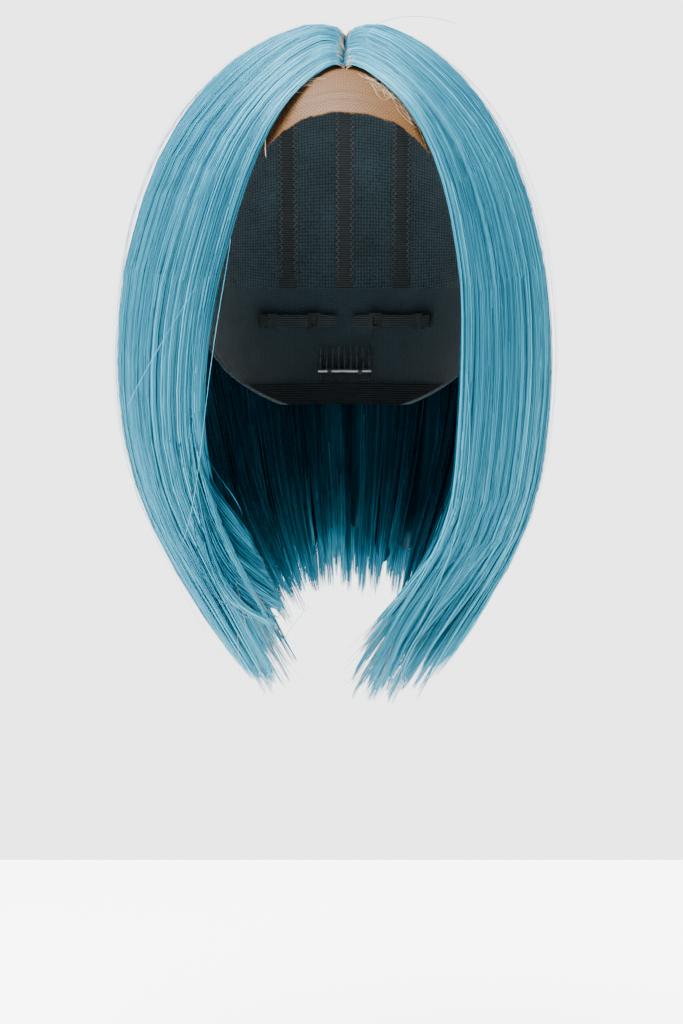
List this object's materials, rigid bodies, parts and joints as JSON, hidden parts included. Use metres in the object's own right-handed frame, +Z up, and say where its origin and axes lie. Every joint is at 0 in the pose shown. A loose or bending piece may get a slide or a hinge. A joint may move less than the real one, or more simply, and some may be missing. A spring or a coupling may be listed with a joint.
{
  "type": "costume wig",
  "caption": "Straight A-line bob costume wig with a centre parting on a lace front cap with combs and adjustable nape straps.",
  "frame": {"origin": "crown of the head on the inside of the cap", "axes": "+Z up out of the crown, -Y the way the face looks, +X the wearer's left"},
  "size_m": [0.198, 0.1982, 0.301],
  "materials": {
    "hair_fibre": "silky straight synthetic fibre, aqua blue",
    "lace": "fine brown monofilament lace, see-through",
    "stretch_net": "open stretch net, dark teal",
    "cap_cloth": "brushed stretch cloth, dark teal",
    "weft_tape": "sewn weft edge, stitched",
    "elastic_tape": "woven elastic, near black",
    "comb_steel": "stamped spring steel, polished",
    "stay_aluminium": "soft rolled aluminium strip",
    "hook_plastic": "moulded nylon, dark"
  },
  "bodies": {
    "cap": {"centre_tape": "elastic_tape", "comb_cloth_left": "elastic_tape", "comb_cloth_nape": "elastic_tape", "comb_cloth_right": "elastic_tape", "crown_net": "stretch_net", "ear_binding_left": "elastic_tape", "ear_binding_right": "elastic_tape", "ear_stay_left": "stay_aluminium", "ear_stay_right": "stay_aluminium", "ear_tab_left": "cap_cloth", "ear_tab_right": "cap_cloth", "hair_back_left": "hair_fibre", "hair_back_right": "hair_fibre", "hair_crown_left": "hair_fibre", "hair_crown_right": "hair_fibre", "hair_front_left": "hair_fibre", "hair_front_right": "hair_fibre", "hair_nape_left": "hair_fibre", "hair_nape_right": "hair_fibre", "hair_side_left": "hair_fibre", "hair_side_right": "hair_fibre", "lace_front": "lace", "loop_tape_left": "elastic_tape", "loop_tape_right": "elastic_tape", "nape_band": "elastic_tape", "nape_panel": "cap_cloth", "side_net_left": "stretch_net", "side_net_right": "stretch_net", "side_tape_left": "elastic_tape", "side_tape_right": "elastic_tape", "strap_casing_left": "elastic_tape", "strap_casing_right": "elastic_tape", "weft_track_1": "weft_tape", "weft_track_2": "weft_tape", "weft_track_3": "weft_tape", "weft_track_4": "weft_tape", "weft_track_5": "weft_tape", "weft_track_6": "weft_tape", "weft_track_7": "weft_tape", "weft_track_8": "weft_tape"},
    "comb_left_body": {"comb_left": "comb_steel"},
    "comb_right_body": {"comb_right": "comb_steel"},
    "comb_nape_body": {"comb_nape": "comb_steel"},
    "adjuster_left": {"adjuster_strap_left": "elastic_tape", "adjuster_hook_left": "hook_plastic"},
    "adjuster_right": {"adjuster_strap_right": "elastic_tape", "adjuster_hook_right": "hook_plastic"}
  },
  "joints": [
    {"name": "comb_left_hinge", "type": "hinge", "parent": "cap", "child": "comb_left_body", "pos_m": [0.06142, -0.04722, -0.07961], "axis": [-0.2619, -0.2341, 0.9363], "range_deg": [0, 70]},
    {"name": "comb_right_hinge", "type": "hinge", "parent": "cap", "child": "comb_right_body", "pos_m": [-0.06142, -0.04722, -0.07961], "axis": [-0.2619, 0.2341, -0.9363], "range_deg": [0, 70]},
    {"name": "comb_nape_hinge", "type": "hinge", "parent": "cap", "child": "comb_nape_body", "pos_m": [0, 0.07198, -0.15231], "axis": [1, 0, 0], "range_deg": [0, 70]},
    {"name": "adjuster_left_travel", "type": "hinge", "parent": "cap", "child": "adjuster_left", "pos_m": [0, 0.0337, -0.128], "axis": [0, 0, 1], "range_deg": [-9.5, 9.5]},
    {"name": "adjuster_right_travel", "type": "hinge", "parent": "cap", "child": "adjuster_right", "pos_m": [0, 0.0337, -0.128], "axis": [0, 0, -1], "range_deg": [-9.5, 9.5]}
  ]
}
